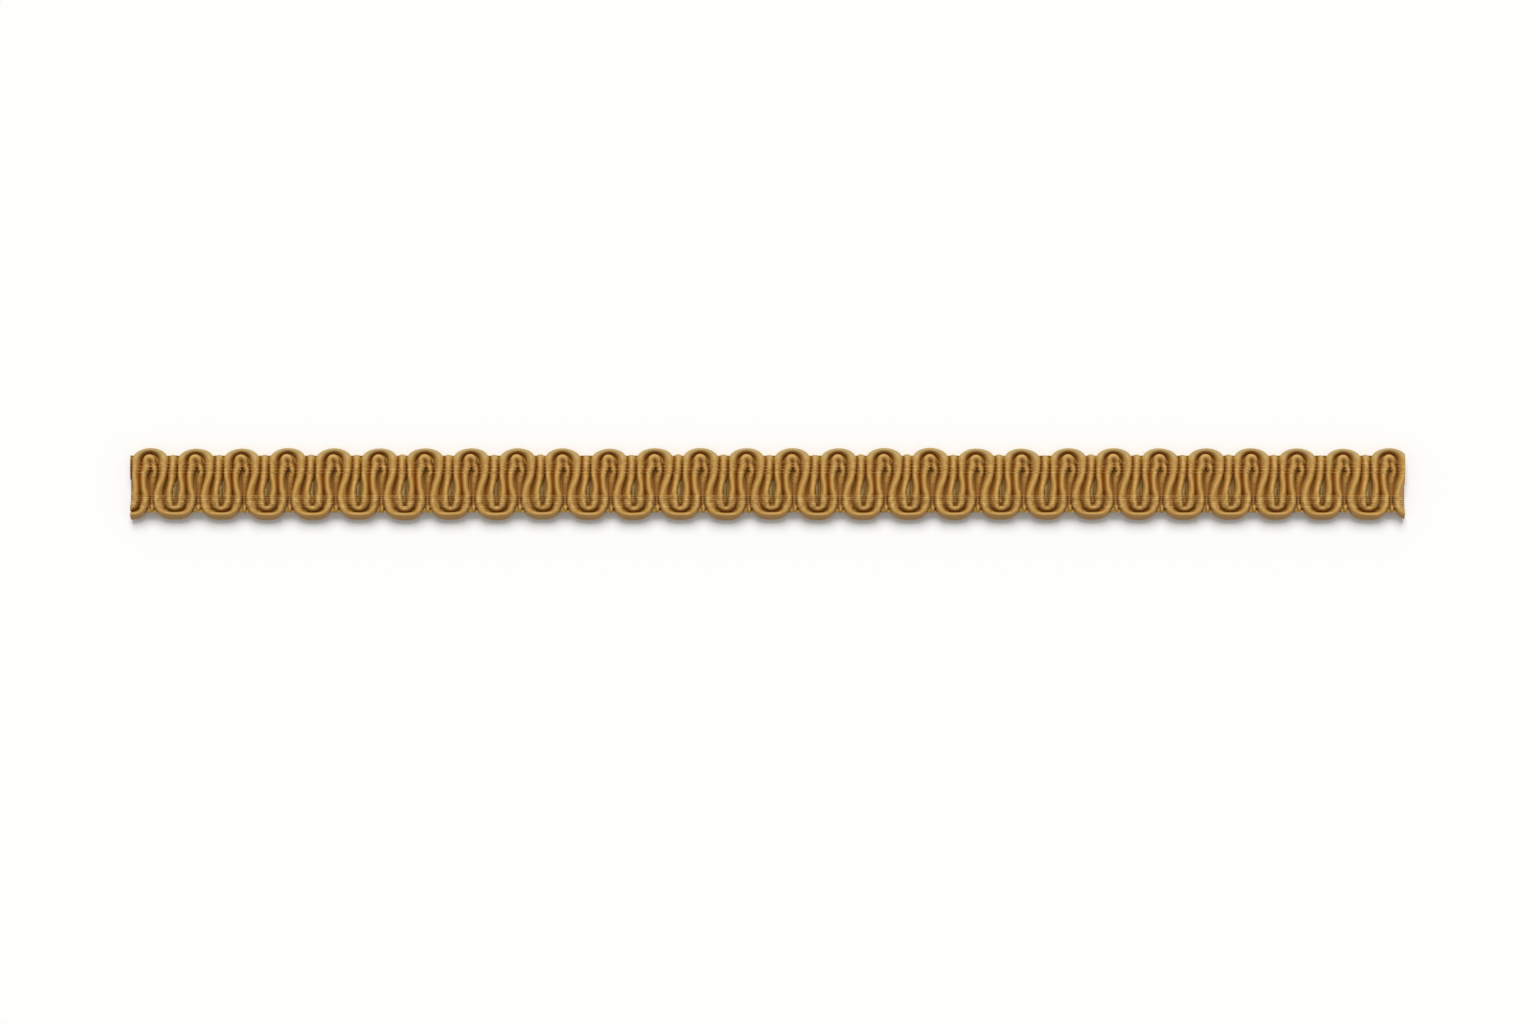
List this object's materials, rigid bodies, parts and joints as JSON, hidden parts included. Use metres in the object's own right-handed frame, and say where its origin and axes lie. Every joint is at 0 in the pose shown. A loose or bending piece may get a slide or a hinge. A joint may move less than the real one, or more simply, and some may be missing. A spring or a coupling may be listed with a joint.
{
  "type": "gimp braid trim",
  "caption": "Narrow upholstery braid: round gimp cord laid in nested scrolls on a woven ground tape, scalloped along both edges, lying straight and flat.",
  "frame": {"origin": "middle of the back of the ground tape, half way along and half way across the trim", "axes": "+X along the trim, +Y across it towards the edge of the round arches (up in the picture), +Z out of the corded face"},
  "size_m": [0.2322, 0.013, 0.0024],
  "materials": {
    "gimp_cord": "satin",
    "ground_weave": "matte",
    "binding_yarn": "satin"
  },
  "bodies": {
    "root": {"ground_tape": "ground_weave", "cord_run_00": "gimp_cord", "cord_run_01": "gimp_cord", "cord_run_02": "gimp_cord", "cord_run_03": "gimp_cord", "cord_run_04": "gimp_cord", "cord_run_05": "gimp_cord", "cord_run_06": "gimp_cord", "cord_run_07": "gimp_cord", "cord_run_08": "gimp_cord", "cord_run_09": "gimp_cord", "cord_run_10": "gimp_cord", "cord_run_11": "gimp_cord", "cord_run_12": "gimp_cord", "cord_run_13": "gimp_cord", "cord_run_14": "gimp_cord", "cord_run_15": "gimp_cord", "cord_run_16": "gimp_cord", "cord_run_17": "gimp_cord", "cord_run_18": "gimp_cord", "cord_run_19": "gimp_cord", "cord_run_20": "gimp_cord", "cord_run_21": "gimp_cord", "cord_run_22": "gimp_cord", "cord_run_23": "gimp_cord", "cord_run_24": "gimp_cord", "cord_run_25": "gimp_cord", "cord_run_26": "gimp_cord", "cord_run_27": "gimp_cord", "cord_run_28": "gimp_cord"}
  },
  "joints": []
}
